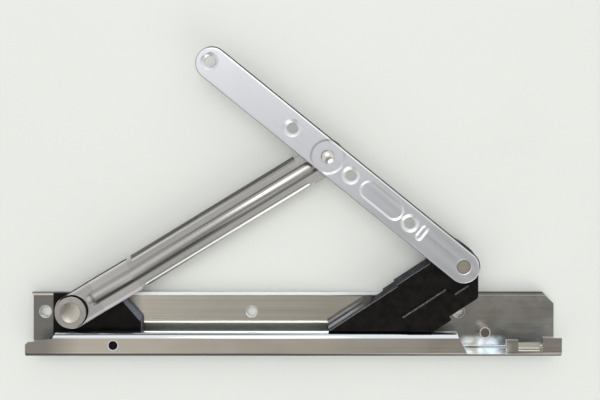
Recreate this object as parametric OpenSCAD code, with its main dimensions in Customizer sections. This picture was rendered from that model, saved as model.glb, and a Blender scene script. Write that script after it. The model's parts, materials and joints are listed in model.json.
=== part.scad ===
// Friction stay for an outward opening window: a rolled track, a fixed pivot block, a support arm,
// a sash arm and a slider that runs in the track and carries the end of the sash arm.
// The origin is the axis of the middle track screw hole, on the back face of the track.
// X runs along the track to its closing end, Y towards the arms and Z away from the window frame.

/* [Track] */
// Length of the track
track_length = 252; // [246:1:300]
// Width of the track over its two folded edges
track_width = 28.3; // [27.8:0.1:32]
// Thickness of the sheet that the track is rolled from
sheet = 1.5; // [1.2:0.1:1.7]
// Height of the tall folded edge, from the back of the track
flange_height = 12; // [11.6:0.1:14]
// Width of the lip that returns over the channel
lip_width = 11.1; // [10.3:0.1:11.8]
// Depth of the turned-down edge of the lip
lip_drop = 3.7; // [3:0.1:4]
// Height of the low folded edge, from the back of the track
upstand_height = 3.2; // [2.6:0.1:3.4]
// Outside radius of the folds
fold_radius = 2.4; // [2:0.1:3]
// Distance between neighbouring screw holes
hole_pitch = 100; // [96:1:102]
// Diameter of the track screw holes
hole_diameter = 5; // [4:0.1:6]
// Distance from the opening end of the track to its first screw hole
hole_margin = 5.8; // [5:0.1:7]
// Distance from the screw hole row to the outside of the low folded edge
hole_row = 9.9; // [9:0.1:11]
// Size of the cut corner at the closing end
corner_cut = 6; // [3:0.5:8]

/* [Lip cut-outs] */
// Length of the stretch at the opening end where the lip is cut narrow
narrow_length = 14.3; // [13:0.1:16]
// Width of the lip that is left on that stretch
narrow_width = 8.2; // [7:0.1:9]
// Diameter of the locating hole in the lip
peg_hole = 4.2; // [3.5:0.1:5]
// Distance from the closing end of the track to the loading gap in the lip
gap_from_end = 44.3; // [42:0.1:50]
// Length of the loading gap
gap_length = 18.4; // [15:0.1:20]
// Length of the slanted cut before the loading gap
gap_slant = 4.3; // [2:0.1:6]
// Width of the lug beyond the loading gap
lug_width = 8; // [7:0.1:8.5]
// Distance from the closing end to the notch in the lug
notch_from_end = 20.4; // [19:0.1:22]
// Length of the notch in the lug
notch_length = 11.5; // [9:0.1:13]
// Depth of the notch in the lug
notch_depth = 5.1; // [4:0.1:5.3]
// Height of the end lug's inner edge beyond the other lug
end_lug_extra = 1.2; // [0.5:0.1:2]

/* [Stop pin] */
// Diameter of the stop pin
pin_diameter = 6.4; // [5:0.1:7]
// Height of the stop pin above the track floor
pin_height = 4.8; // [3:0.1:5]
// Distance from the closing end of the track to the stop pin
pin_from_end = 34.5; // [33:0.1:36]
// Distance from the screw hole row to the stop pin
pin_below_row = 8.7; // [8.4:0.1:9]

/* [Pivot block] */
// Distance from the opening end of the track to the pivot block
block_start = 10.8; // [10:0.1:12]
// Length of the pivot block
block_length = 42; // [36:0.5:48]
// Height of the pivot block above the track floor
block_height = 3.5; // [3:0.1:4.5]
// Length of the cut corner of the pivot block
block_corner = 8; // [5:0.5:12]
// Distance from the end of the block to the main pivot
pivot_setback = 9.7; // [9:0.1:12]
// Distance from the screw hole row to the main pivot
pivot_rise = 1.8; // [1:0.1:2.4]

/* [Arms] */
// Distance from the main pivot to the middle pivot
support_reach = 142.3; // [138:0.1:146]
// Width of the support arm
support_width = 16.4; // [15.5:0.1:17]
// Thickness of the support arm
support_thickness = 2; // [1.6:0.1:2.2]
// Rise of the support arm between its flat end and its raised length
support_rise = 3; // [2.6:0.1:3.4]
// Depth of the turned-down edges of the support arm
support_flange = 4.2; // [3:0.1:4.6]
// Outside radius of the support arm's bent edges
support_bend = 2.6; // [2.4:0.1:3.2]
// Width of the pressed bead along the support arm
bead_width = 5.7; // [5:0.1:7]
// Height of the pressed bead
bead_height = 0.8; // [0.5:0.05:0.9]
// Distance from the middle pivot to the end pivot
sash_reach = 81.6; // [79:0.1:84]
// Width of the sash arm
sash_width = 15.6; // [15:0.1:16.4]
// Thickness of the sash arm
sash_thickness = 2.5; // [2:0.1:3]
// Opening angle of the sash arm as modelled
opening_angle = 39; // [34:0.5:42]
// Distance from the main pivot's line to the end pivot
end_pivot_rise = 22.7; // [21.5:0.1:24]

/* [Sash arm holes] */
// Diameter of the sash screw holes
screw_hole = 4.7; // [4:0.1:5.2]
// Diameter of the dished seat around each sash screw hole
screw_seat = 8.6; // [7:0.1:9.5]
// Depth of the dished seats
screw_seat_depth = 0.8; // [0.4:0.1:1.2]
// Distance from the end pivot to the first sash screw hole
first_hole = 32.3; // [31:0.1:34]
// Distance from the end pivot to the second sash screw hole
second_hole = 67.8; // [66:0.1:69]
// Distance from the end pivot to the third sash screw hole
third_hole = 102.9; // [101:0.1:105]
// Distance from the end pivot to the last sash screw hole
last_hole = 152.4; // [148:0.1:158]
// Diameter of the coined disc around the middle rivet
disc_diameter = 16.8; // [14:0.1:18]
// Depth of the coined disc
disc_depth = 0.25; // [0.15:0.05:0.4]
// Depth of the pressed recesses
recess_depth = 0.4; // [0.2:0.05:0.5]

/* [Pivots] */
// Diameter of the main rivet's shank
main_shank = 8; // [7:0.1:9]
// Diameter of the main rivet's head
main_head = 14.7; // [13:0.1:15.5]
// Thickness of the main rivet's head
main_head_height = 1.6; // [1.2:0.1:2]
// Diameter of the dish in the main rivet's head
main_dish = 9.6; // [8:0.1:11]
// Diameter of the middle and end rivets' shanks
rivet_shank = 5; // [4.5:0.1:5.6]
// Diameter of the middle rivet's domed head
dome_diameter = 6.6; // [6.2:0.1:8]
// Height of the middle rivet's domed head
dome_height = 1.3; // [1:0.1:1.5]
// Diameter of the end rivet's flush head
flush_head = 6.6; // [6:0.1:8]
// Diameter of the rivets' formed tails
tail_diameter = 8.4; // [7.6:0.1:9]
// Thickness of the rivets' formed tails
tail_height = 1; // [0.8:0.1:1.2]
// Outside diameter of the pivot washers
washer_diameter = 12.6; // [11:0.1:13.5]
// Outside diameter of the washer under the support arm
back_washer_diameter = 10.6; // [9.5:0.1:11]
// Thickness of each pivot washer
washer_thickness = 0.6; // [0.5:0.05:0.7]

/* [Slider] */
// Height of the slider's top above the track floor
slider_height = 9.5; // [9.3:0.1:9.8]
// Distance from the end pivot to the slider's tail
slider_tail = 62.7; // [60:0.1:65]
// Slant of the slider's wing to the track
wing_angle = 33; // [31:0.5:34]
// Distance from the end pivot to the wing's outer edge
wing_edge = 9; // [8.6:0.1:9.6]
// Distance from the end pivot to the wing's inner edge
wing_inner = 16.6; // [15.5:0.1:17.5]
// Radius of the wing's nose
nose_radius = 16.6; // [16:0.1:18]
// Height of the raised rail on the slider's top
rail_height = 1; // [0.6:0.1:1.4]
// Distance from the end pivot to the slider's blunt end
nose_reach = 7.6; // [7:0.1:8.5]
// Depth of the hollow moulded into the slider's underside
core_depth = 5; // [3:0.1:6]
// Length of the friction pad
pad_length = 17; // [14:0.5:18]
// Width of the friction pad
pad_width = 6; // [4:0.1:6.4]
// Thickness of the friction pad
pad_thickness = 2.4; // [2:0.1:2.6]
// Thickness of the pad's leaf spring
spring_thickness = 0.3; // [0.2:0.05:0.4]
// Bow of the pad's leaf spring
spring_bow = 1; // [0.7:0.1:1.3]

/* [Clearances] */
// Radial running clearance of the pivots
run_clear = 0.05; // [0.02:0.01:0.09]
// Clearance between the slider and the track floor
floor_clear = 0.2; // [0.15:0.05:0.3]
// Side clearance of the slider towards the low folded edge
side_clear = 1.1; // [1:0.05:1.2]
// Side clearance of the slider towards the tall folded edge and its lip
slide_clear = 0.85; // [0.8:0.05:0.95]
// Clearance between the slider's foot and the lip above it
lip_clear = 0.5; // [0.4:0.05:0.6]

/* [Hidden] */

$fn = 64;
// Overlap of a cutting shape past the face it cuts
over = 1;
// Long enough to cut or fill right across the stay
far = 400;

// Track limits
track_left = -hole_margin - hole_pitch;
track_right = track_left + track_length;
track_top = hole_row;
track_bottom = hole_row - track_width;
channel_top = track_top - sheet;
channel_bottom = track_bottom + sheet;
lip_edge = track_bottom + lip_width;
lip_under = flange_height - sheet;
drop_under = flange_height - lip_drop;
fold_inner = fold_radius - sheet;
narrow_edge = track_bottom + narrow_width;
narrow_slant = 1.1;
narrow_step = 1.8;
end_corner = 1.2;
lug_edge = track_bottom + lug_width;
gap_start = track_right - gap_from_end;
gap_end = gap_start + gap_length;
notch_start = track_right - notch_from_end;
notch_edge = lug_edge - notch_depth;
tab_clear = 0.5;
rim_depth = 0.4;
tab_drop = 2.4;
tab_thickness = 1.2;

// Pivots in plan
pivot_x = track_left + block_start + pivot_setback;
support_angle = asin((sash_reach * sin(opening_angle) + end_pivot_rise) / support_reach);
mid_x = pivot_x + support_reach * cos(support_angle);
mid_y = pivot_rise + support_reach * sin(support_angle);
end_x = mid_x + sash_reach * cos(opening_angle);
end_y = pivot_rise + end_pivot_rise;
closed_end_x = pivot_x + sqrt(support_reach^2 - end_pivot_rise^2) + sash_reach;
closing_travel = closed_end_x - end_x;

// Heights of the stack
block_top = sheet + block_height;
support_base = block_top + washer_thickness;
support_top = support_base + support_thickness;
raised_base = support_base + support_rise;
raised_top = raised_base + support_thickness;
bush_top = support_top + washer_thickness;
slider_top = sheet + slider_height;
sash_base = max(raised_top + 2 * washer_thickness, slider_top + washer_thickness);
sash_top = sash_base + sash_thickness;
disc_top = sash_top - disc_depth;
back_washer_base = raised_base - washer_thickness;
mid_tail_base = back_washer_base - tail_height;

// Support arm stations, measured from the main pivot
bead_start = 9.6;
rise_start = 14;
rise_end = 35;
flange_start = 38;
flange_setback = 14;
bead_setback = 9;
flange_end = support_reach - flange_setback;
bead_end = support_reach - bead_setback;
edge_relief = 1.2;
relief_length = 2.4;

// Run of the slanted walls around the sash arm's pressed marks
press_run = 1.1;

// Pivot bores
bush_wall = 1.2;
bush_outer = main_shank / 2 + run_clear + bush_wall;
bush_lip = 0.9;
spigot_step = 1.8;
foot_spigot = main_shank - spigot_step;
pin_spigot = pin_diameter - spigot_step;
pin_taper = 1.2;
dish_depth = 0.7;
tail_seat_clear = 0.4;
flush_head_depth = (flush_head - rivet_shank) / 2;
end_tail_base = 0.6;
end_tail_top = end_tail_base + tail_height;
end_back_top = end_tail_top + washer_thickness;

// Slider limits
outer_base = 0.6;
slider_base = sheet + floor_clear;
upstand_gap = 0.4;
fold_gap = 0.3;
foot_top = drop_under - lip_clear;
foot_edge = channel_bottom + fold_inner + fold_gap;
body_edge = lip_edge + slide_clear;
wing_jog = 0.8;
wing_jog_at = -31;
wing_end = 0;
wing_corner = 12;
inner_jog = 1.9;
inner_jog_at = -18.2;
nose_x = -7.7;
nose_y = -4.3;
nose_low = -8;
nose_high = wing_edge + 0.8;
nose_from = -12;
rail_start = -37;
rail_end = -2.5;
rail_edge = -5.2;
rail_break = -12.6;
rail_slope = 2.1;
rail_low_edge = -9.4;
core_from = 38;
core_to = 16;
core_low = -3;
core_high = 6;
pin_slot_side = 1.3;
pin_slot_roof = 0.4;
pin_slot_end = track_right - pin_from_end - closing_travel - pin_diameter / 2 - slide_clear;
pad_gap = 0.05;
pad_clear = 0.15;
pad_start = 5;
pad_edge_wall = 1;
pad_base = sheet + pad_gap;
spring_base = pad_base + pad_thickness;
spring_top = spring_base + spring_bow + spring_thickness;
spring_end_clear = 1;

// The corner of the friction pad nearest to the slider's tail
pad_x = end_x - slider_tail + pad_start;
pad_y = foot_edge + pad_edge_wall;

// Pivot block's corner and its peg in the lip
block_slope = 1.15;
block_bevel = 1.6;
block_tab = 2;
block_tab_width = 4;
peg_offset = 30.5;
peg_x = track_left + block_start + peg_offset;
peg_y = track_bottom + lip_width / 2;
peg_clear = 0.15;
peg_below_lip = 1;

// A quarter of a bend in sheet, its centre at the origin and its outside towards +X and +Y
module fold(outer, inner) {
    intersection() {
        difference() {
            circle(r = outer);
            circle(r = inner);
        }
        square(outer);
    }
}

// A straight strip of sheet in the track's section, from corner to corner
module strip(y0, z0, y1, z1) {
    translate([y0, z0]) square([y1 - y0, z1 - z0]);
}

// The track's section across its length, drawn with Y across and Z up
module track_section() {
    r = fold_radius;
    strip(track_bottom + r, 0, track_top - r, sheet);
    translate([track_top - r, r]) rotate(-90) fold(r, fold_inner);
    strip(channel_top, r, track_top, upstand_height);
    translate([track_bottom + r, r]) rotate(180) fold(r, fold_inner);
    strip(track_bottom, r, channel_bottom, flange_height - r);
    translate([track_bottom + r, flange_height - r]) rotate(90) fold(r, fold_inner);
    strip(track_bottom + r, lip_under, lip_edge - r, flange_height);
    translate([lip_edge - r, flange_height - r]) fold(r, fold_inner);
    strip(lip_edge - sheet, drop_under, lip_edge, flange_height - r);
}

// Runs a section drawn in Y and Z along X
module along_x(x0, x1) {
    translate([x0, 0, 0]) rotate([90, 0, 90]) linear_extrude(x1 - x0) children();
}

// A column over a plan outline, between two heights
module column(z0, z1) {
    translate([0, 0, z0]) linear_extrude(z1 - z0) children();
}

module lip_cut_outs() {
    column(upstand_height + over, flange_height + over) {
        polygon([
            [track_left - over, narrow_edge - narrow_slant - end_corner - over],
            [track_left + end_corner, narrow_edge - narrow_slant],
            [track_left + narrow_length - narrow_step, narrow_edge],
            [track_left + narrow_length, lip_edge + over],
            [track_left - over, lip_edge + over]
        ]);
        polygon([
            [gap_start - gap_slant, lip_edge + over],
            [gap_start - gap_slant, lip_edge - sheet],
            [gap_start, channel_bottom],
            [gap_end, channel_bottom],
            [gap_end, lug_edge],
            [notch_start, lug_edge],
            [notch_start, notch_edge],
            [notch_start + notch_length, notch_edge],
            [notch_start + notch_length, lug_edge + end_lug_extra],
            [track_right + over, lug_edge + end_lug_extra],
            [track_right + over, lip_edge + over]
        ]);
    }
    translate([peg_x, peg_y, drop_under]) cylinder(d = peg_hole, h = lip_drop + over);
}

module track_holes() {
    for (i = [-1:1])
        translate([i * hole_pitch, 0, 0]) {
            translate([0, 0, -over]) cylinder(d = hole_diameter, h = sheet + 2 * over);
            translate([0, 0, sheet - rim_depth])
                cylinder(d1 = hole_diameter, d2 = hole_diameter + 2 * rim_depth, h = rim_depth);
        }
    translate([pivot_x, pivot_rise, -over]) cylinder(d = foot_spigot, h = sheet + 2 * over);
    translate([track_right - pin_from_end, -pin_below_row, -over])
        cylinder(d = pin_spigot, h = sheet + 2 * over);
}

module end_corner_cut() {
    column(-over, upstand_height + over)
        polygon([
            [track_right - corner_cut, track_top + over],
            [track_right - corner_cut, track_top],
            [track_right, track_top - corner_cut],
            [track_right + over, track_top - corner_cut],
            [track_right + over, track_top + over]
        ]);
}

// The tongue that is pressed down out of the notch
module pressed_tab() {
    tab_top = flange_height - tab_drop;
    translate([notch_start + tab_clear, channel_bottom - sheet / 2, tab_top - tab_thickness])
        cube([notch_length - 2 * tab_clear, notch_depth, tab_thickness]);
}

module track() {
    color("silver") {
        difference() {
            along_x(track_left, track_right) track_section();
            lip_cut_outs();
            track_holes();
            end_corner_cut();
        }
        pressed_tab();
    }
}

module stop_pin() {
    color("gray") translate([track_right - pin_from_end, -pin_below_row, 0]) {
        cylinder(d = pin_spigot, h = sheet);
        translate([0, 0, sheet]) cylinder(d1 = pin_diameter, d2 = pin_diameter - pin_taper, h = pin_height);
    }
}

module pivot_block() {
    start = track_left + block_start;
    end = start + block_length;
    top = channel_top - fold_inner;
    foot = channel_bottom + fold_inner;
    corner_drop = block_corner * block_slope;
    corner_edge = sqrt(block_corner^2 + corner_drop^2);
    color("black") difference() {
        union() {
            column(sheet, block_top)
                polygon([
                    [start, foot],
                    [end, foot],
                    [end, top - corner_drop],
                    [end - block_corner, top],
                    [start, top]
                ]);
            column(upstand_height, block_top)
                polygon([
                    [start, top - over],
                    [end - block_corner, top - over],
                    [end - block_corner - over, track_top],
                    [start, track_top]
                ]);
            translate([start - block_tab, foot, sheet]) cube([block_tab + over, block_tab_width, block_height]);
            translate([peg_x, peg_y, block_top - over])
                cylinder(d = peg_hole - 2 * peg_clear, h = flange_height - peg_below_lip - block_top + over);
        }
        translate([pivot_x, pivot_rise, 0]) cylinder(d = main_shank, h = block_top + over);
        translate([end, top - corner_drop, block_top]) rotate(180 - atan(block_slope)) rotate([45, 0, 0])
            translate([-over, -block_height, -block_bevel / sqrt(2)])
                cube([corner_edge + 2 * over, 2 * block_height, block_height]);
    }
}

module main_rivet() {
    color("lightgray") translate([pivot_x, pivot_rise, 0]) {
        cylinder(d = foot_spigot, h = sheet);
        translate([0, 0, sheet]) cylinder(d = main_shank, h = bush_top - sheet);
        difference() {
            translate([0, 0, bush_top]) cylinder(d = main_head, h = main_head_height);
            translate([0, 0, bush_top + main_head_height]) mirror([0, 0, 1]) dome(main_dish, dish_depth);
        }
    }
}

// A flat ring between two heights
module ring(outer, inner, z0, z1) {
    translate([0, 0, z0]) difference() {
        cylinder(d = outer, h = z1 - z0);
        translate([0, 0, -over]) cylinder(d = inner, h = z1 - z0 + 2 * over);
    }
}

module main_washer() {
    color("dimgray") translate([pivot_x, pivot_rise, 0])
        ring(washer_diameter, main_shank, block_top, support_base);
}

module main_bush() {
    bore = main_shank + 2 * run_clear;
    color("black") translate([pivot_x, pivot_rise, 0]) {
        ring(2 * bush_outer, bore, support_base, support_top);
        ring(main_head + bush_lip, bore, support_top, bush_top);
    }
}

// Places a shape drawn along +X from the main pivot on the support arm
module on_support() {
    translate([pivot_x, pivot_rise, 0]) rotate(support_angle) children();
}

// Places a shape drawn along +X from the end pivot on the sash arm
module on_sash() {
    translate([end_x, end_y, 0]) rotate(180 - opening_angle) children();
}

// An outline with two round ends
module capsule(x0, x1, width) {
    translate([x0, 0]) circle(d = width);
    translate([x1, 0]) circle(d = width);
    translate([x0, -width / 2]) square([x1 - x0, width]);
}

// The support arm seen from its side, from one end to the other
module support_side() {
    polygon([
        [-support_width, support_base],
        [rise_start, support_base],
        [rise_end, raised_base],
        [support_reach + support_width, raised_base],
        [support_reach + support_width, raised_top],
        [rise_end, raised_top],
        [rise_start, support_top],
        [-support_width, support_top]
    ]);
}

// The support arm's side view run across its width
module support_band() {
    translate([0, support_width / 2, 0]) rotate([90, 0, 0]) linear_extrude(support_width) support_side();
}

// The support arm's section where its edges are bent down
module support_section() {
    half = support_width / 2;
    bend = support_bend;
    low = raised_top - support_flange;
    strip(bend - half, raised_base, half - bend, raised_top);
    for (side = [0, 1]) mirror([side, 0]) {
        translate([half - bend, raised_top - bend]) fold(bend, bend - support_thickness);
        strip(half - support_thickness, low, half, raised_top - bend);
    }
}

// The pressed bead's round top, standing on a face at a given height
module bead_section(face) {
    radius = (bead_width^2 / 4 + bead_height^2) / (2 * bead_height);
    intersection() {
        translate([0, face + bead_height - radius]) circle(r = radius, $fn = 180);
        strip(-bead_width, face - bead_height, bead_width, face + bead_height);
    }
}

// The bead along the flat end, up the rise and along the raised length
module support_bead() {
    slope = atan(support_rise / (rise_end - rise_start));
    intersection() {
        union() {
            along_x(0, rise_start + over) bead_section(support_top);
            translate([rise_start, 0, support_top]) rotate([0, -slope, 0])
                along_x(-over, support_rise / sin(slope)) bead_section(0);
            along_x(rise_end - over, support_reach) bead_section(raised_top);
        }
        column(0, far) capsule(bead_start + bead_width / 2, bead_end - bead_width / 2, bead_width + over);
    }
}

module support_arm() {
    half = support_width / 2;
    color("lightgray") on_support() difference() {
        union() {
            difference() {
                intersection() {
                    support_band();
                    column(0, far) capsule(0, support_reach, support_width);
                }
                translate([flange_start, -half, 0]) cube([flange_end - flange_start, support_width, far]);
            }
            along_x(flange_start, flange_end) support_section();
            support_bead();
        }
        for (side = [-1, 1], x = [flange_start - relief_length, flange_end])
            translate([x, side * half - edge_relief, 0]) cube([relief_length, 2 * edge_relief, far]);
        cylinder(r = bush_outer, h = far);
        translate([support_reach, 0, 0]) cylinder(d = rivet_shank + 2 * run_clear, h = far);
    }
}

module mid_rivet() {
    color("lightgray") translate([mid_x, mid_y, 0]) {
        translate([0, 0, mid_tail_base]) cylinder(d = tail_diameter, h = tail_height);
        translate([0, 0, back_washer_base]) cylinder(d = rivet_shank, h = disc_top - back_washer_base);
        translate([0, 0, disc_top]) dome(dome_diameter, dome_height);
    }
}

// A low dome on a flat face
module dome(diameter, height) {
    radius = (diameter^2 / 4 + height^2) / (2 * height);
    rotate_extrude() intersection() {
        translate([0, height - radius]) circle(r = radius, $fn = 96);
        square([diameter / 2, height]);
    }
}

module mid_washer() {
    color("dimgray") translate([mid_x, mid_y, 0])
        ring(washer_diameter, rivet_shank, raised_top, raised_top + washer_thickness);
}

module mid_spacer() {
    color("silver") translate([mid_x, mid_y, 0])
        ring(washer_diameter, rivet_shank, raised_top + washer_thickness, sash_base);
}

module mid_back_washer() {
    color("silver") translate([mid_x, mid_y, 0])
        ring(back_washer_diameter, rivet_shank, back_washer_base, raised_base);
}

// A slot with round ends and slanted walls, cut down from the sash arm's top
module pressed_slot(x0, x1, width) {
    floor_width = width - 2 * press_run;
    translate([0, 0, sash_top - recess_depth]) {
        for (x = [x0, x1]) translate([x, 0, 0]) cylinder(d1 = floor_width, d2 = width, h = recess_depth);
        along_x(x0, x1) polygon([
            [-floor_width / 2, 0],
            [floor_width / 2, 0],
            [width / 2, recess_depth],
            [-width / 2, recess_depth]
        ]);
    }
}

// A dished screw hole through the sash arm
module sash_screw_hole() {
    translate([0, 0, sash_base - over]) cylinder(d = screw_hole, h = sash_thickness + 2 * over);
    translate([0, 0, sash_top - screw_seat_depth])
        cylinder(d1 = screw_hole, d2 = screw_seat, h = screw_seat_depth);
}

module sash_arm() {
    recess_width = 9.3;
    recess_from = 37;
    recess_to = 61.4;
    recess_start = recess_from + recess_width / 2;
    recess_end = recess_to - recess_width / 2;
    mark_length = 8.4;
    mark_width = 3.7;
    mark_half = (mark_length - mark_width) / 2;
    mark_at = 25.1;
    tip_inset = 1.3;
    color("gainsboro") on_sash() difference() {
        column(sash_base, sash_top) capsule(0, last_hole - tip_inset, sash_width);
        for (x = [first_hole, second_hole, third_hole, last_hole])
            translate([x, 0, 0]) sash_screw_hole();
        pressed_slot(recess_start, recess_end, recess_width);
        translate([mark_at, 0, 0]) rotate(90) pressed_slot(-mark_half, mark_half, mark_width);
        translate([sash_reach, 0, sash_base - over])
            cylinder(d = rivet_shank, h = sash_thickness + 2 * over);
        translate([sash_reach, 0, disc_top])
            cylinder(d1 = disc_diameter - 2 * press_run, d2 = disc_diameter, h = disc_depth);
        end_rivet_shape(run_clear);
    }
}

// The end rivet from below the slider's boss to its flush head, grown by a clearance
module end_rivet_shape(grow) {
    head_base = sash_top - flush_head_depth;
    translate([0, 0, end_tail_top]) cylinder(d = rivet_shank + 2 * grow, h = sash_top - end_tail_top);
    translate([0, 0, head_base])
        cylinder(d1 = rivet_shank + 2 * grow, d2 = flush_head + 2 * grow, h = flush_head_depth);
}

module end_rivet() {
    color("tan") translate([end_x, end_y, 0]) {
        translate([0, 0, end_tail_base]) cylinder(d = tail_diameter, h = tail_height);
        end_rivet_shape(0);
    }
}

module end_washer() {
    color("dimgray") translate([end_x, end_y, 0])
        ring(washer_diameter, rivet_shank, slider_top, sash_base);
}

module end_back_washer() {
    color("silver") translate([end_x, end_y, 0])
        ring(washer_diameter, rivet_shank, end_tail_top, end_back_top);
}

// Places an outline drawn along the slider's wing, with its origin at the end pivot
module on_wing() {
    translate([end_x, end_y]) rotate(wing_angle) children();
}

// The slider's plan outline, before the track's edges limit it
module slider_outline() {
    intersection() {
        union() {
            on_wing() polygon([
                [wing_corner, -wing_inner],
                [wing_corner, nose_low],
                [wing_end, nose_low],
                [wing_end, wing_edge],
                [wing_jog_at, wing_edge],
                [wing_jog_at, wing_edge - wing_jog],
                [-far, wing_edge - wing_jog],
                [-far, -wing_inner - inner_jog],
                [inner_jog_at, -wing_inner - inner_jog],
                [inner_jog_at, -wing_inner]
            ]);
            intersection() {
                translate([end_x + nose_x, end_y + nose_y]) circle(r = nose_radius);
                on_wing() translate([nose_from, nose_low]) square([far, nose_high - nose_low]);
            }
        }
        translate([end_x - slider_tail, -far / 2]) square([slider_tail + nose_reach, far]);
    }
}

// The part of the plan between two lines along the track
module between(y0, y1) {
    intersection() {
        children();
        translate([-far, y0]) square([2 * far, y1 - y0]);
    }
}

module slider_rail() {
    column(slider_top - over, slider_top + rail_height) between(body_edge, far) intersection() {
        slider_outline();
        on_wing() polygon([
            [rail_start, rail_edge],
            [rail_break, rail_edge],
            [rail_break + rail_slope, rail_low_edge],
            [rail_end, rail_low_edge],
            [rail_end, -far],
            [rail_start, -far]
        ]);
    }
}

module slider() {
    inner_top = channel_top - side_clear;
    outer_edge = track_top + slide_clear;
    upstand_clear = upstand_height + upstand_gap;
    color("#2a2725") difference() {
        union() {
            column(slider_base, foot_top) between(foot_edge, inner_top) slider_outline();
            column(foot_top - over, slider_top) between(body_edge, inner_top) slider_outline();
            column(upstand_clear, slider_top) between(inner_top - over, outer_edge + over) slider_outline();
            column(outer_base, slider_top) between(outer_edge, far) slider_outline();
            slider_rail();
        }
        translate([end_x - core_from, core_low, 0])
            cube([core_from - core_to, core_high - core_low, slider_base + core_depth]);
        translate([pin_slot_end, -pin_below_row - pin_diameter / 2 - pin_slot_side, 0])
            cube([far, pin_diameter + 2 * pin_slot_side, sheet + pin_height + pin_slot_roof]);
        pad_pocket();
        translate([end_x, end_y, 0]) {
            cylinder(d = rivet_shank, h = far);
            cylinder(d = washer_diameter + 2 * tail_seat_clear, h = end_back_top);
        }
    }
}

module pad_pocket() {
    translate([pad_x - pad_clear, pad_y - pad_clear, 0])
        cube([pad_length + 2 * pad_clear, pad_width + 2 * pad_clear, spring_top]);
}

module friction_pad() {
    color("saddlebrown") translate([pad_x, pad_y, pad_base]) cube([pad_length, pad_width, pad_thickness]);
}

module pad_spring() {
    half = pad_length / 2 - spring_end_clear;
    outer = (half^2 + (spring_bow + spring_thickness)^2) / (2 * (spring_bow + spring_thickness));
    color("silver") translate([pad_x + pad_length / 2, pad_y + pad_width - spring_end_clear, spring_base])
        rotate([90, 0, 0]) linear_extrude(pad_width - 2 * spring_end_clear) intersection() {
            translate([0, spring_bow + spring_thickness - outer]) difference() {
                circle(r = outer, $fn = 180);
                circle(r = outer - spring_thickness, $fn = 180);
            }
            translate([-half, 0]) square([2 * half, spring_bow + spring_thickness]);
        }
}

track();
stop_pin();
pivot_block();
main_rivet();
main_washer();
main_bush();
support_arm();
mid_rivet();
mid_washer();
mid_spacer();
mid_back_washer();
sash_arm();
end_rivet();
end_washer();
end_back_washer();
slider();
friction_pad();
pad_spring();
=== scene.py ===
import json
import math
from collections import namedtuple

import bpy
from bpy.props import FloatProperty, FloatVectorProperty, PointerProperty
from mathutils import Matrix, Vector


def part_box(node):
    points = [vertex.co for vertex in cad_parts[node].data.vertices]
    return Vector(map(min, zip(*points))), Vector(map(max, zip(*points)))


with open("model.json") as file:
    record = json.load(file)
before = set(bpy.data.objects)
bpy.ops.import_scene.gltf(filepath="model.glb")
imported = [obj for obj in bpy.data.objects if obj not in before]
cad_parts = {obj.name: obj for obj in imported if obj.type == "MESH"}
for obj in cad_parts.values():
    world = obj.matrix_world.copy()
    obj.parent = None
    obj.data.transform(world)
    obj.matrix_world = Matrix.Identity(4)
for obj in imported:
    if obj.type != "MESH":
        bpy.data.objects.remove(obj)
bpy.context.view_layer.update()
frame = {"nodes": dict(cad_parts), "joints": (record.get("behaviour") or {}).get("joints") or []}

bl_info = {
    "name": "Friction stay finish",
    "version": (1, 0, 0),
    "blender": (4, 5, 0),
    "location": "3D View > Sidebar > Friction stay",
    "description": "Finishes the pieces of a window friction stay and sets its table, light and camera",
    "category": "Object",
}

NODES = frame["nodes"]
MM = 0.001

# Pivot centres at rest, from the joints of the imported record
PIVOTS = {joint["name"]: Vector(joint["pos_m"]) for joint in frame["joints"]}
MAIN_PIVOT = PIVOTS["main_pivot"]
MIDDLE_PIVOT = PIVOTS["middle_pivot"]
END_PIVOT = PIVOTS["end_pivot"]
SUPPORT_LINE = MIDDLE_PIVOT - MAIN_PIVOT
SASH_LINE = END_PIVOT - MIDDLE_PIVOT
SUPPORT_ANGLE = math.atan2(SUPPORT_LINE.y, SUPPORT_LINE.x)
SASH_ANGLE = math.atan2(SASH_LINE.y, SASH_LINE.x)
SUPPORT_ACROSS = Vector((-math.sin(SUPPORT_ANGLE), math.cos(SUPPORT_ANGLE), 0.0))

# A pair of numbers below, other than a direction, holds limits: a mask is empty at the first and full at the
# second. Limits named FACING are of one part of the surface's normal.

# Rounded edges: how they are found, and how many of the set edge widths the arms and rivets take
WELD_DISTANCE = 0.002 * MM
FLAT_ANGLE = math.radians(1)
SHARP_ANGLE = math.radians(35)
SUPPORT_ROUNDING = 2.5
SASH_ROUNDING = 2.4
RIVET_ROUNDING = 1.2

# Shared effects
NOISE = (0.3, 0.7)
SMUDGES = (0.35, 0.7)
SCUFF_DOTS = (0.10, 0.02)
SCUFFED_PATCHES = (0.5, 0.62)
MOTTLE = (0.35, 0.68)
# Masks for painted glints on slanted edges and painted sheen on walls that face one way
SLANTED_EDGE = (0.86, 0.97)
UPRIGHT_FACING = (0.4, 0.1)
ACROSS_FACING = (0.3, 0.8)
GLINT_MASK_RADIUS = 0.45 * MM
DIAGONAL = math.sqrt(0.5)

# Rolled steel: shares of its marks in the colour and the roughness, and the height of its relief
BAND_SHARE = 0.35
SMUDGE_SHARE = 0.34
STREAK_ROUGHNESS = 0.10
SMUDGE_ROUGHNESS = 0.07
SCUFF_ROUGHNESS = 0.25
FINE_RELIEF = 0.02 * MM

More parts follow.
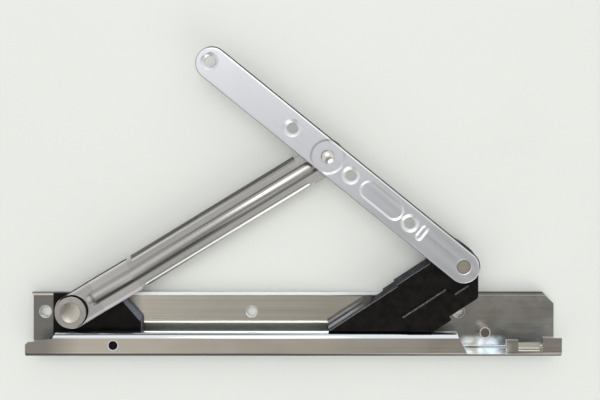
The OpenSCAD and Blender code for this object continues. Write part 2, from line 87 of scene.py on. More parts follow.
# Track: stretches along it, bands across it and heights over its back
TRACK_STREAKS = 0.25
TRACK_TINT = 0.78
PAST_BLOCK = (-60 * MM, -52 * MM)
BEFORE_CLOSING = (88 * MM, 62 * MM)
UNDER_LIP = (11.0 * MM, 10.4 * MM)
FLOOR = (2.2 * MM, 1.6 * MM)
LOW_EDGE_SIDE = (4 * MM, 8 * MM)
LOW_EDGE_TOP = (8.3 * MM, 8.6 * MM)
# Band along the track's outer edge that gets a painted dark line of shade at both ends
LOW_EDGE_LINE = (9.2 * MM, 9.5 * MM)
LOW_LINE_SHARE = 0.75
LIP_TOP = (11.5 * MM, 11.9 * MM)
LIP_TOP_SHARE = 0.85
LIP_SIDE = (-4 * MM, -6 * MM)
# Where the painted shade on the lip's top starts and where it is full, towards each end
LIP_TO_CLOSING = (-20 * MM, 128 * MM)
LIP_TO_OPENING = (-80 * MM, -96 * MM)
# Where the lip's notch gets painted coloured reflections
NOTCH_START = (101 * MM, 104 * MM)
NOTCH_END = (123 * MM, 120 * MM)
NOTCH_ACROSS = (-11.2 * MM, -12.8 * MM)
STAIN_SIZE = 130.0
STAIN_TINT = 0.86
UP_FACING = (0.5, 0.8)
DOWN_FACING = (-0.3, -0.6)
INNER_FACING = (0.1, 0.3)
OUTER_FACING = (-0.12, -0.5)
# Centre and outer radius of the painted highlight on the rim of each hole in the track's floor and lip
HOLE_RIMS = [(-100 * MM, 0.0, 3.1 * MM), (0.0, 0.0, 3.1 * MM), (100 * MM, 0.0, 3.1 * MM),
             (-64.5 * MM, -12.85 * MM, 2.5 * MM)]
RIM_BLUR = 0.15 * MM
RIM_SHARE = 0.8

# Both arms: distance of the painted highlight line from their edges
BRIGHT_LINE = 0.95 * MM

# Support arm: distances from its middle line, and of the bead's start and the flat part from the main pivot
SUPPORT_STREAKS = 0.03
SUPPORT_TINT = 0.93
SUPPORT_POLISH = 0.12
SUPPORT_HALF = 8.2 * MM
BEAD_START = 12.0 * MM
BEAD_BLUR = 1.0 * MM
# Painted shade along the bead's foot: where it lies and how dark it is on each side
GROOVE_OFFSET = 2.45 * MM
GROOVE = (1.4 * MM, 0.3 * MM)
RIGHT_GROOVE_SHARE = 0.95
LEFT_GROOVE_SHARE = 0.35
END_GROOVE = (1.2 * MM, 0.3 * MM)
END_GROOVE_SHARE = 0.55
BEAD_SIDE = (GROOVE_OFFSET + 0.6 * MM, GROOVE_OFFSET)
# Where the fold along one long side of the arm gets painted shade, and how dark
FOLD_FACING = (0.03, 0.10)
FOLD_SIDE = (4.0 * MM, 5.0 * MM)
FOLD_SHADING = 0.6
FLAT_PART = (40 * MM, 37 * MM)
# Painted highlight line near the edges of the support arm's flat end
FLAT_LINE = (0.7 * MM, 0.4 * MM)
FLAT_LINE_SHARE = 0.5
# Painted shade along one long side: on the flat end's edge, and on side faces that face one way
FLAT_EDGE = (SUPPORT_HALF - 0.6 * MM, SUPPORT_HALF - 0.4 * MM)
SHADED_SIDE_FACING = (0.68, 0.9)

# Sash arm: distances in from its outline, of its upper side from its middle line and of the boss's slope from
# the middle pivot
SASH_STREAKS = 0.12
SASH_TINT = 0.94
SASH_HALF = 7.8 * MM
UPPER_SIDE = (3.0 * MM, 5.0 * MM)
# Where the pressed slopes get their painted highlight, and the boss's slope its painted shade
PRESSED_INSET = (1.2 * MM, 1.6 * MM)
PRESSED_FACING = (0.99, 0.95)
BOSS_SLOPE = (9.2 * MM, 9.8 * MM)
# Width of the painted highlight line along the upper side
SASH_LINE_WIDTH = (0.45 * MM, 0.25 * MM)
# Steep rounded outline, dark partly from the cut edges' own colour and partly from painted shade, and the
# painted shade along the upper side
STEEP_INSET = (0.5 * MM, 0.25 * MM)
STEEP_FACING = (0.85, 0.55)
SHADED_SIDE_INSET = (0.65 * MM, 0.5 * MM)

# Rivets, washers and stop pin: distances from their axes, of the rim in from the radius and of the pin's worn
# top down from its end
Turned = namedtuple("Turned", "node centre colour roughness radius rim_share")
TURNED_TINT = 0.6
RING_SHARE = 0.6
RING_DEPTH = 0.3
RIVET_STAIN_SHARE = 0.7
RIVET_CLOUD_SIZE = 180.0
RIVET_POLISH = 0.05
RIVET_STAIN_ROUGHNESS = 0.14
RIM_START = 1.1 * MM
RIM_END = 0.2 * MM
DISH_RADIUS = 4.8 * MM
DISH = (DISH_RADIUS, DISH_RADIUS - 0.3 * MM)
DISH_LINE = (0.45 * MM, 0.1 * MM)
DISH_LINE_SHARE = 0.6
WORN_TOP_START = 0.12 * MM
WORN_TOP_END = 0.02 * MM
WORN_TOP = (2.3 * MM, 2.0 * MM)

# Moulded pieces: directions in plan across the slider's slanted wing and the block's slanted end
WING_ACROSS = (-0.545, 0.839)
BLOCK_ACROSS = (0.78, 0.62)
MOULDED_SHINE = 0.09
MOTTLE_TINT = 2.1
MOTTLE_ROUGHNESS = 0.16
GRAIN_DEPTH = 0.35
GRAIN_RELIEF = 0.03 * MM
GLINT_SHARE = 0.9
WASHER_DULLNESS = 0.1
# Height of the bright band on the slider's long wall, how wide it is and where it ends along the track
GLEAM_HEIGHT = 5.2 * MM
GLEAM_BAND = (2.7 * MM, 1.2 * MM)
GLEAM_END = (55 * MM, 47 * MM)

# Friction pad and spring
PAD_DULLNESS = 0.15
PAD_GLINT_TINT = 1.5
SPRING_POLISH = 0.1
SPRING_STREAKS = 0.1
SPRING_TINT = 0.85

# Table: half its side, its drop below the track's back and its finish
TABLE_HALF = 4.0
TABLE_DROP = 0.8 * MM
TABLE_CLOUD_SIZE = 9.0
TABLE_TINT = 0.985
TABLE_ROUGHNESS = 0.3
TABLE_SHINE = 0.3

# Room: directions of its dim and bright parts, and limits of how near, how high and how far back a ray points
DIM_PART = Vector((0.25, -0.67, 0.70)).normalized()
DIM_NEARNESS = (0.62, 0.92)
DARK_CORNER = Vector((-0.80, 0.60, 0.0)).normalized()
CORNER_NEARNESS = (0.35, 0.70)
CORNER_RISE = (0.55, 0.15)
SKIRTING_RISE = (0.22, 0.05)
FAR_SIDE = (-0.35, 0.15)
HIGH_WINDOW = Vector((-0.05, 0.40, 0.915)).normalized()
HIGH_NEARNESS = (0.94, 0.985)
FRONT_WINDOW = Vector((0.48, -0.77, 0.42)).normalized()
FRONT_NEARNESS = (0.86, 0.96)

# Softbox and camera
SOFTBOX_SIZE = 0.9
SOFTBOX_PLACE = Vector((0.0, -0.12, 1.0))
SOFTBOX_AIM = Vector((0.0, 0.04, 0.0))
CAMERA_X = 23.3 * MM
CAMERA_Y = 97.1 * MM
SENSOR_WIDTH = 36.0
NEAR_LIMIT = 0.01


def colour_property(name, description, default):
    """A linear colour that a user can change."""
    return FloatVectorProperty(name=name, description=description, default=default, subtype="COLOR",
                               size=3, min=0.0, max=1.0)


def share_property(name, description, default):
    """A share from nothing to all."""
    return FloatProperty(name=name, description=description, default=default, subtype="FACTOR",
                         min=0.0, max=1.0)


def length_property(name, description, default):
    """A length in metres, shown in the scene's unit."""
    return FloatProperty(name=name, description=description, default=default, subtype="DISTANCE",
                         unit="LENGTH", min=0.0, precision=5)


def strength_property(name, description, default, unit="NONE"):
    """The strength of a light, from nothing upwards."""
    return FloatProperty(name=name, description=description, default=default, unit=unit, min=0.0)


class StaySteelSettings(bpy.types.PropertyGroup):
    """Finish of the track, the arms and the rivets."""
    track_colour: colour_property("Track", "Colour of the rolled track", (0.83, 0.78, 0.665))
    lip_colour: colour_property("Lip", "Colour of the lip's satin top", (0.63, 0.58, 0.485))
    # Painted shade: dark colour of the lip's top towards its ends
    lip_end_shading_colour: colour_property("Lip ends", "Colour of the lip's top at its ends", (0.25, 0.225, 0.19))
    # Painted highlight: bright bluish colour on the lip's faces that face into the channel
    lip_edge_highlight_colour: colour_property("Lip edge", "Colour of the lip's bright inner edge", (0.88, 0.94, 0.98))
    # Painted reflection: pale bluish colour on the down-facing faces under the lip
    underside_reflection_colour: colour_property("Lip underside", "Colour of the faces under the lip", (0.82, 0.90, 1.0))
    opening_colour: colour_property("Opening end", "Colour of the floor at the opening end",
                                    (0.228, 0.218, 0.19))
    closing_colour: colour_property("Closing end", "Colour of the floor at the closing end",
                                    (0.335, 0.32, 0.285))
    # Painted reflection: yellowish colour of the patches in the lip's notch
    notch_reflection_colour: colour_property("Lip notch", "Colour of the stains in the lip's notch", (0.42, 0.37, 0.27))
    support_colour: colour_property("Support arm", "Colour of the support arm", (0.57, 0.56, 0.53))
    sash_colour: colour_property("Sash arm", "Colour of the sash arm", (0.685, 0.69, 0.71))
    # Painted highlight: white of the bright lines along edges and rims
    painted_highlight_colour: colour_property("Painted highlights", "Colour of bright worn edges and rims", (1.0, 1.0, 1.0))
    rivet_colour: colour_property("Rivets", "Colour of the pivot rivets", (0.62, 0.60, 0.54))
    # Painted highlight: pale colour of the sash arm's pressed slopes
    slope_highlight_colour: colour_property("Pressed slopes", "Colour of the sash arm's pressed slopes",
                                   (0.80, 0.80, 0.81))
    # Painted shade: dark colour of the slope round the middle rivet
    boss_shading_colour: colour_property("Rivet slope", "Colour of the slope round the middle rivet",
                                 (0.36, 0.36, 0.37))
    dish_colour: colour_property("Rivet dish", "Colour of the main rivet's dish", (0.56, 0.52, 0.44))
    dome_colour: colour_property("Domed rivet", "Colour of the domed middle rivet", (0.96, 0.935, 0.87))
    end_rivet_colour: colour_property("End rivet", "Colour of the flush end rivet", (0.55, 0.505, 0.40))
    # Painted shade, and the dark colour of the sash arm's cut edges
    shading_and_cut_edge_colour: colour_property("Shading and cut edges", "Colour of grimy grooves and edges", (0.07, 0.066, 0.06))
    pin_top_colour: colour_property("Pin top", "Colour of the stop pin's worn top", (0.19, 0.155, 0.125))
    polish: share_property("Floor roughness", "Roughness of the polished track floor", 0.12)
    underside: share_property("Underside roughness", "Roughness of the dull faces under the lip", 0.7)
    satin: share_property("Satin roughness", "Roughness of the satin steel", 0.34)
    edge_width: length_property("Edge rounding", "Width of the rounded steel edges", 0.22 * MM)


class StayBlackSettings(bpy.types.PropertyGroup):
    """Finish of the moulded black pieces."""
    slider_colour: colour_property("Slider", "Colour of the slider", (0.0050, 0.0045, 0.0038))
    block_colour: colour_property("Pivot block", "Colour of the pivot block", (0.0042, 0.0036, 0.0032))
    pad_colour: colour_property("Friction pad", "Colour of the friction pad", (0.23, 0.12, 0.055))
    # Painted highlight: colour of the glints on the edges that face one way
    glint_colour: colour_property("Edge glints", "Colour of the rubbed edges", (0.46, 0.46, 0.47))
    gleam_colour: colour_property("Block gleam", "Colour of the block's slanted edge", (0.16, 0.18, 0.22))
    band_colour: colour_property("Slider gleam", "Colour of the slider's low band", (0.42, 0.46, 0.56))
    # Painted sheen on the walls that face one way
    sheen_colour: colour_property("Wall sheen", "Colour of the smooth mould walls", (0.012, 0.013, 0.022))
    roughness: share_property("Roughness", "Roughness of the moulded faces", 0.42)
    edge_width: length_property("Edge rounding", "Width of the rounded moulded edges", 0.45 * MM)


class StayStageSettings(bpy.types.PropertyGroup):
    """Table, light and camera."""
    table_colour: colour_property("Table", "Colour of the table top", (0.80, 0.81, 0.76))
    room_light: colour_property("Room light", "Light from the pale room", (0.86, 0.86, 0.87))
    dim_light: colour_property("Dim light", "Light from the dim part of the ceiling", (0.27, 0.265, 0.255))
    wall_light: colour_property("Wall light", "Light from the dark far wall", (0.10, 0.10, 0.10))
    window_light: colour_property("Window light", "Light that the two windows add", (0.95, 0.98, 1.0))
    window_strength: strength_property("Window strength", "Strength of the two windows", 2.0)
    room_strength: strength_property("Light strength", "Strength of the room's light", 1.0)
    lamp_power: strength_property("Softbox", "Power of the overhead softbox", 1.5, unit="POWER")
    camera_height: length_property("Camera height", "Height of the camera over the table", 0.330)
    lens: FloatProperty(name="Lens", description="Focal length of the camera", default=40.66, unit="CAMERA")
    framing: FloatProperty(name="Framing", description="Sideways shift of the lens towards the track",
                           default=-0.148)


def put(tree, kind, values=None, **attributes):
    """Adds a node with its attributes and its unlinked input values."""
    node = tree.nodes.new(kind)
    for name, value in attributes.items():
        setattr(node, name, value)
    for socket, value in (values or {}).items():
        node.inputs[socket].default_value = value
    return node


def wire(tree, start, end):
    """Links an output socket to an input socket."""
    tree.links.new(start, end)


def feed(tree, value, socket):
    """Links a value to an input socket, or sets it there if it is a number or a linear colour."""
    if isinstance(value, bpy.types.NodeSocket):
        wire(tree, value, socket)
    elif socket.type == "RGBA":
        socket.default_value = (*value, 1.0)
    else:
        socket.default_value = value


def maths(tree, operation, *values):
    """A Math node whose inputs are sockets or numbers; returns its output."""
    node = put(tree, "ShaderNodeMath", operation=operation)
    for value, socket in zip(values, node.inputs):
        feed(tree, value, socket)
    return node.outputs[0]


def both(tree, first, second):
    """Where both masks hold, or a share of one mask."""
    return maths(tree, "MULTIPLY", first, second)


def either(tree, first, second):
    """Where at least one of two masks holds."""
    return maths(tree, "MAXIMUM", first, second)


def outside(tree, mask):
    """Where a mask doesn't hold."""
    return maths(tree, "SUBTRACT", 1.0, mask)


def away_from(tree, value, centre):
    """How far a value is from a centre value, either way."""
    return maths(tree, "ABSOLUTE", maths(tree, "SUBTRACT", value, centre))


def spread(tree, value, limits, full=1.0, smooth=False):
    """Grows from nothing where a value is at the first limit to full at the second, and no further."""
    ranges = {"From Min": limits[0], "From Max": limits[1], "To Min": 0.0, "To Max": full}
    node = put(tree, "ShaderNodeMapRange", ranges, interpolation_type="SMOOTHSTEP" if smooth else "LINEAR")
    wire(tree, value, node.inputs["Value"])
    return node.outputs["Result"]


def parts(tree, source):
    """The X, Y and Z outputs of an Object or Normal coordinate."""
    node = put(tree, "ShaderNodeSeparateXYZ")
    wire(tree, put(tree, "ShaderNodeTexCoord").outputs[source], node.inputs[0])
    return node.outputs


def reach(tree, vector, direction):
    """How far a vector reaches along a fixed direction."""
    node = put(tree, "ShaderNodeVectorMath", operation="DOT_PRODUCT")
    wire(tree, vector, node.inputs[0])
    node.inputs[1].default_value = direction
    return node.outputs["Value"]


def toned(colour, factor):
    """A linear colour made darker or paler."""
    return tuple(channel * factor for channel in colour)


def mix_colour(tree, share, first, second):
    """Mixes two colours, each a socket or a linear colour; returns the result."""
    node = put(tree, "ShaderNodeMix", data_type="RGBA", clamp_factor=True)
    wire(tree, share, node.inputs["Factor"])
    sockets = [socket for socket in node.inputs if socket.type == "RGBA"]
    for value, socket in zip((first, second), sockets):
        feed(tree, value, socket)
    return next(socket for socket in node.outputs if socket.type == "RGBA")


def mix_value(tree, share, first, second):
    """Mixes a socket's value towards a number; returns the result."""
    node = put(tree, "ShaderNodeMix", data_type="FLOAT")
    wire(tree, share, node.inputs["Factor"])
    wire(tree, first, node.inputs["A"])
    node.inputs["B"].default_value = second
    return node.outputs["Result"]


def new_group(name, inputs, outputs):
    """An empty shader group with named float inputs and outputs."""
    group = bpy.data.node_groups.new(name, "ShaderNodeTree")
    for label, default in inputs:
        socket = group.interface.new_socket(name=label, in_out="INPUT", socket_type="NodeSocketFloat")
        socket.default_value = default
    for label in outputs:
        group.interface.new_socket(name=label, in_out="OUTPUT", socket_type="NodeSocketFloat")
    return group, put(group, "NodeGroupInput"), put(group, "NodeGroupOutput")


def rolled_streaks():
    """Fine streaks along a direction in the plane of the track, as rolling and drawing leave them."""
    group, start, end = new_group("Rolled streaks", [("Angle", 0.0), ("Length", 10.0), ("Width", 1100.0)],
                                  ["Streaks", "Bands"])
    place = put(group, "ShaderNodeTexCoord").outputs["Object"]
    turn = put(group, "ShaderNodeVectorRotate", rotation_type="Z_AXIS")
    wire(group, place, turn.inputs["Vector"])
    wire(group, maths(group, "MULTIPLY", start.outputs["Angle"], -1.0), turn.inputs["Angle"])
    for label, share, detail in (("Streaks", 1.0, 3.0), ("Bands", 0.12, 2.0)):
        stretch = put(group, "ShaderNodeCombineXYZ")
        for size, axis in (("Length", "X"), ("Width", "Y"), ("Width", "Z")):
            wire(group, maths(group, "MULTIPLY", start.outputs[size], share), stretch.inputs[axis])
        scale = put(group, "ShaderNodeVectorMath", operation="MULTIPLY")
        wire(group, turn.outputs["Vector"], scale.inputs[0])
        wire(group, stretch.outputs["Vector"], scale.inputs[1])
        noise = put(group, "ShaderNodeTexNoise", {"Scale": 1.0, "Detail": detail, "Roughness": 0.6})
        wire(group, scale.outputs["Vector"], noise.inputs["Vector"])
        wire(group, spread(group, noise.outputs["Fac"], NOISE), end.inputs[label])
    return group


def handling_marks():
    """Cloudy smudges and sparse small scuffs from handling."""
    group, start, end = new_group("Handling marks", [("Cloud size", 45.0), ("Scuff size", 520.0)],
                                  ["Smudges", "Scuffs"])
    place = put(group, "ShaderNodeTexCoord").outputs["Object"]
    clouds = put(group, "ShaderNodeTexNoise", {"Detail": 4.0, "Roughness": 0.55, "Distortion": 0.6})
    wire(group, place, clouds.inputs["Vector"])
    wire(group, start.outputs["Cloud size"], clouds.inputs["Scale"])
    wire(group, spread(group, clouds.outputs["Fac"], SMUDGES, smooth=True), end.inputs["Smudges"])
    specks = put(group, "ShaderNodeTexVoronoi", {"Randomness": 1.0}, feature="F1")
    wire(group, place, specks.inputs["Vector"])
    wire(group, start.outputs["Scuff size"], specks.inputs["Scale"])
    dots = spread(group, specks.outputs["Distance"], SCUFF_DOTS)
    patches = put(group, "ShaderNodeTexNoise", {"Scale": 70.0, "Detail": 2.0})
    wire(group, place, patches.inputs["Vector"])
    scuffed = spread(group, patches.outputs["Fac"], SCUFFED_PATCHES)
    wire(group, both(group, dots, scuffed), end.inputs["Scuffs"])
    return group


def moulded_grain():
    """Fine grain and soft mottling of a moulded black face."""
    group, start, end = new_group("Moulded grain", [("Grain size", 2300.0), ("Mottle size", 260.0)],
                                  ["Grain", "Mottle"])
    place = put(group, "ShaderNodeTexCoord").outputs["Object"]
    for label, socket, limits in (("Grain", "Grain size", NOISE), ("Mottle", "Mottle size", MOTTLE)):
        noise = put(group, "ShaderNodeTexNoise", {"Detail": 3.0, "Roughness": 0.6})
        wire(group, place, noise.inputs["Vector"])
        wire(group, start.outputs[socket], noise.inputs["Scale"])
        wire(group, spread(group, noise.outputs["Fac"], limits), end.inputs[label])
    return group


def edge_glints():
    """Masks of the rounded top edges and of the upright walls that face one direction in plan, for painted
    glints and painted sheen.
    """
    directions = list(zip(("Across X", "Across Y"), WING_ACROSS))
    group, start, end = new_group("Edge glints", directions, ["Edges", "Walls"])
    rounded = put(group, "ShaderNodeBevel", {"Radius": GLINT_MASK_RADIUS}, samples=6)
    local = put(group, "ShaderNodeVectorTransform", vector_type="NORMAL", convert_from="WORLD",
                convert_to="OBJECT")
    wire(group, rounded.outputs["Normal"], local.inputs["Vector"])
    facing = local.outputs["Vector"]
    across = put(group, "ShaderNodeCombineXYZ")
    wire(group, start.outputs["Across X"], across.inputs["X"])
    wire(group, start.outputs["Across Y"], across.inputs["Y"])
    level = put(group, "ShaderNodeVectorMath", operation="DOT_PRODUCT")
    wire(group, facing, level.inputs[0])
    wire(group, across.outputs["Vector"], level.inputs[1])
    normal = put(group, "ShaderNodeSeparateXYZ")
    wire(group, facing, normal.inputs[0])
    tilt = maths(group, "ADD", level.outputs["Value"], normal.outputs["Z"])
    slanted = maths(group, "MULTIPLY", tilt, DIAGONAL)
    wire(group, spread(group, slanted, SLANTED_EDGE), end.inputs["Edges"])
    upright = spread(group, normal.outputs["Z"], UPRIGHT_FACING)
    toward = spread(group, level.outputs["Value"], ACROSS_FACING)
    wire(group, both(group, upright, toward), end.inputs["Walls"])
    return group


def turned_rings():
    """Concentric tool rings about an upright axis, and the distance from it."""
    group, start, end = new_group("Turned rings", [("Centre X", 0.0), ("Centre Y", 0.0), ("Pitch", 9000.0)],
                                  ["Rings", "Distance"])
    place = parts(group, "Object")
    across = maths(group, "SUBTRACT", place["X"], start.outputs["Centre X"])
    along = maths(group, "SUBTRACT", place["Y"], start.outputs["Centre Y"])
    squares = [maths(group, "MULTIPLY", offset, offset) for offset in (across, along)]
    distance = maths(group, "SQRT", maths(group, "ADD", *squares))
    noise = put(group, "ShaderNodeTexNoise", {"Scale": 1.0, "Detail": 3.0}, noise_dimensions="1D")
    wire(group, maths(group, "MULTIPLY", distance, start.outputs["Pitch"]), noise.inputs["W"])
    wire(group, spread(group, noise.outputs["Fac"], NOISE), end.inputs["Rings"])
    wire(group, distance, end.inputs["Distance"])
    return group


GROUP_MAKERS = {
    "Rolled streaks": rolled_streaks,
    "Handling marks": handling_marks,
    "Moulded grain": moulded_grain,
    "Edge glints": edge_glints,
    "Turned rings": turned_rings,
}


def effect(tree, name, **values):
    """Places a shared effect in a material with its own values; returns its outputs."""
    group = bpy.data.node_groups.get(name) or GROUP_MAKERS[name]()
    node = put(tree, "ShaderNodeGroup", node_tree=group)
    for label, value in values.items():
        node.inputs[label.replace("_", " ")].default_value = value
    return node.outputs


def distance_from(tree, x, y):
    """How far a point lies from an upright axis."""
    return effect(tree, "Turned rings", Centre_X=x, Centre_Y=y)["Distance"]


def new_material(name):
    """A material with only a Principled BSDF and its output; returns it, its tree and the shader."""
    material = bpy.data.materials.new(name)
    material.use_nodes = True
    tree = material.node_tree
    tree.nodes.clear()
    shader = put(tree, "ShaderNodeBsdfPrincipled")
    wire(tree, shader.outputs["BSDF"], put(tree, "ShaderNodeOutputMaterial").inputs["Surface"])
    return material, tree, shader


def add_bump(tree, shader, height, strength, distance):
    """Feeds a height to the shader's normal."""
    bump = put(tree, "ShaderNodeBump", {"Strength": strength, "Distance": distance})
    wire(tree, height, bump.inputs["Height"])
    wire(tree, bump.outputs["Normal"], shader.inputs["Normal"])


def dress(node, material):
    """Gives a CAD node its material."""
    mesh = NODES[node].data
    mesh.materials.clear()
    mesh.materials.append(material)


def round_edges(node, width, whole_flats=False):
    """Rounds a CAD node's sharp edges with modifiers, for the light they catch."""
    piece = NODES[node]
    weld = piece.modifiers.new("Joined edges", "WELD")
    weld.merge_threshold = WELD_DISTANCE
    if whole_flats:
        flats = piece.modifiers.new("Whole flats", "DECIMATE")
        flats.decimate_type = "DISSOLVE"
        flats.angle_limit = FLAT_ANGLE
    bevel = piece.modifiers.new("Rounded edges", "BEVEL")
    bevel.width = width
    bevel.segments = 2
    bevel.limit_method = "ANGLE"
    bevel.angle_limit = SHARP_ANGLE
    bevel.use_clamp_overlap = not whole_flats
    bevel.harden_normals = True


def steel(name, colour, roughness, angle, streak_depth, tint):
    """Rolled steel with streaks, smudges and scuffs; returns the material, tree, shader and its sockets."""
    material, tree, shader = new_material(name)
    shader.inputs["Metallic"].default_value = 1.0
    streaks = effect(tree, "Rolled streaks", Angle=angle)
    marks = effect(tree, "Handling marks")
    darker = toned(colour, tint)
    lines = mix_colour(tree, streaks["Streaks"], darker, colour)
    bands = mix_colour(tree, both(tree, streaks["Bands"], BAND_SHARE), lines, colour)
    cloudy = mix_colour(tree, both(tree, marks["Smudges"], SMUDGE_SHARE), bands, darker)
    smoothest = roughness - STREAK_ROUGHNESS / 2
    uneven = maths(tree, "MULTIPLY_ADD", streaks["Streaks"], STREAK_ROUGHNESS, smoothest)
    smeared = maths(tree, "MULTIPLY_ADD", marks["Smudges"], SMUDGE_ROUGHNESS, uneven)
    worn = maths(tree, "MULTIPLY_ADD", marks["Scuffs"], SCUFF_ROUGHNESS, smeared)
    add_bump(tree, shader, streaks["Streaks"], streak_depth, FINE_RELIEF)
    return material, tree, shader, cloudy, worn


class STAY_OT_track(bpy.types.Operator):
    """Finish the rolled track, its polished floor and its dull ends"""
    bl_idname = "stay.track"
    bl_label = "Track"

    def execute(self, context):
        settings = context.scene.stay_steel
        material, tree, shader, metal, rough = steel(
            "Rolled track steel", settings.track_colour, settings.satin, 0.0, TRACK_STREAKS, TRACK_TINT)
        place = parts(tree, "Object")
        facing = parts(tree, "Normal")
        past_block = spread(tree, place["X"], PAST_BLOCK, smooth=True)
        before_closing = spread(tree, place["X"], BEFORE_CLOSING, smooth=True)
        run = both(tree, past_block, before_closing)
        lip_side = spread(tree, place["Y"], LIP_SIDE)
        # Faces of the lip that face into the channel, which get a painted highlight
        inner_edge = both(tree, lip_side, spread(tree, facing["Y"], INNER_FACING))
        # Faces of the lip that face outwards, which get painted shade
        outer_edge = both(tree, lip_side, spread(tree, facing["Y"], OUTER_FACING))
        underside = spread(tree, facing["Z"], DOWN_FACING)
        # Top of the low edge, which gets a painted highlight
        low_top = both(tree, spread(tree, place["Y"], LOW_EDGE_TOP), spread(tree, facing["Z"], UP_FACING))
        low_rim = both(tree, low_top, run)

        lip = self.lip(tree, settings, place, metal)
        stained = self.stained_ends(tree, settings, place, lip, past_block, before_closing)
        # Painted bluish reflection on the down-facing faces
        reflecting_underside = mix_colour(tree, underside, stained, settings.underside_reflection_colour)
        # Painted highlight on the lip's inner edge
        bright = mix_colour(tree, inner_edge, reflecting_underside, settings.lip_edge_highlight_colour)
        # Painted highlights on the rims of the low edge and of the holes
        rimmed = mix_colour(tree, self.rims(tree, low_rim), bright, settings.painted_highlight_colour)
        low_line = both(tree, spread(tree, place["Y"], LOW_EDGE_LINE, LOW_LINE_SHARE), outside(tree, run))
        # Painted shade on the lip's outer fold, and a painted dark line of shade along the outer edge at both
        # ends
        shadowy = mix_colour(tree, either(tree, outer_edge, low_line), rimmed, settings.shading_and_cut_edge_colour)
        wire(tree, shadowy, shader.inputs["Base Color"])

        polished = both(tree, spread(tree, place["Z"], UNDER_LIP), run)
        mirror = mix_value(tree, either(tree, polished, inner_edge), rough, settings.polish)
        dull = mix_value(tree, either(tree, underside, low_rim), mirror, settings.underside)
        wire(tree, dull, shader.inputs["Roughness"])
        dress("track", material)
        round_edges("track", settings.edge_width)
        return {"FINISHED"}

    def lip(self, tree, settings, place, metal):
        """Colour of the metal with the lip's top, which painted shade darkens towards both ends."""
        lip_top = spread(tree, place["Z"], LIP_TOP)
        to_closing = spread(tree, place["X"], LIP_TO_CLOSING)
        to_opening = spread(tree, place["X"], LIP_TO_OPENING)
        to_ends = either(tree, to_closing, to_opening)
        # Painted shade darkening the lip's top towards both ends
        satin = mix_colour(tree, to_ends, settings.lip_colour, settings.lip_end_shading_colour)
        return mix_colour(tree, both(tree, lip_top, LIP_TOP_SHARE), metal, satin)

    def stained_ends(self, tree, settings, place, metal, past_block, before_closing):
        """Colour of the metal with the floor's dull ends, the stains at the closing end and the painted
        reflections in the lip's notch.
        """
        floor = spread(tree, place["Z"], FLOOR)
        low_edge = spread(tree, place["Y"], LOW_EDGE_SIDE)
        opening = both(tree, floor, outside(tree, past_block))
        closing = both(tree, either(tree, floor, low_edge), outside(tree, before_closing))
        stains = effect(tree, "Handling marks", Cloud_size=STAIN_SIZE)["Smudges"]
        darker = toned(settings.closing_colour, STAIN_TINT)
        stained = mix_colour(tree, stains, settings.closing_colour, darker)
        left = mix_colour(tree, opening, metal, settings.opening_colour)
        ends = mix_colour(tree, closing, left, stained)
        along = both(tree, spread(tree, place["X"], NOTCH_START), spread(tree, place["X"], NOTCH_END))
        notch = both(tree, along, spread(tree, place["Y"], NOTCH_ACROSS))
        # Painted reflections in the lip's notch: patches of the bright lip edge colour and a yellowish colour
        patches = mix_colour(tree, stains, settings.lip_edge_highlight_colour, settings.notch_reflection_colour)
        return mix_colour(tree, notch, ends, patches)

    def rims(self, tree, low_rim):
        """Mask of the painted highlights on the rims of the low edge and of the holes."""
        mask = low_rim
        for x, y, radius in HOLE_RIMS:
            limits = (radius + RIM_BLUR, radius - RIM_BLUR)
            mask = either(tree, mask, spread(tree, distance_from(tree, x, y), limits, RIM_SHARE))
        return mask


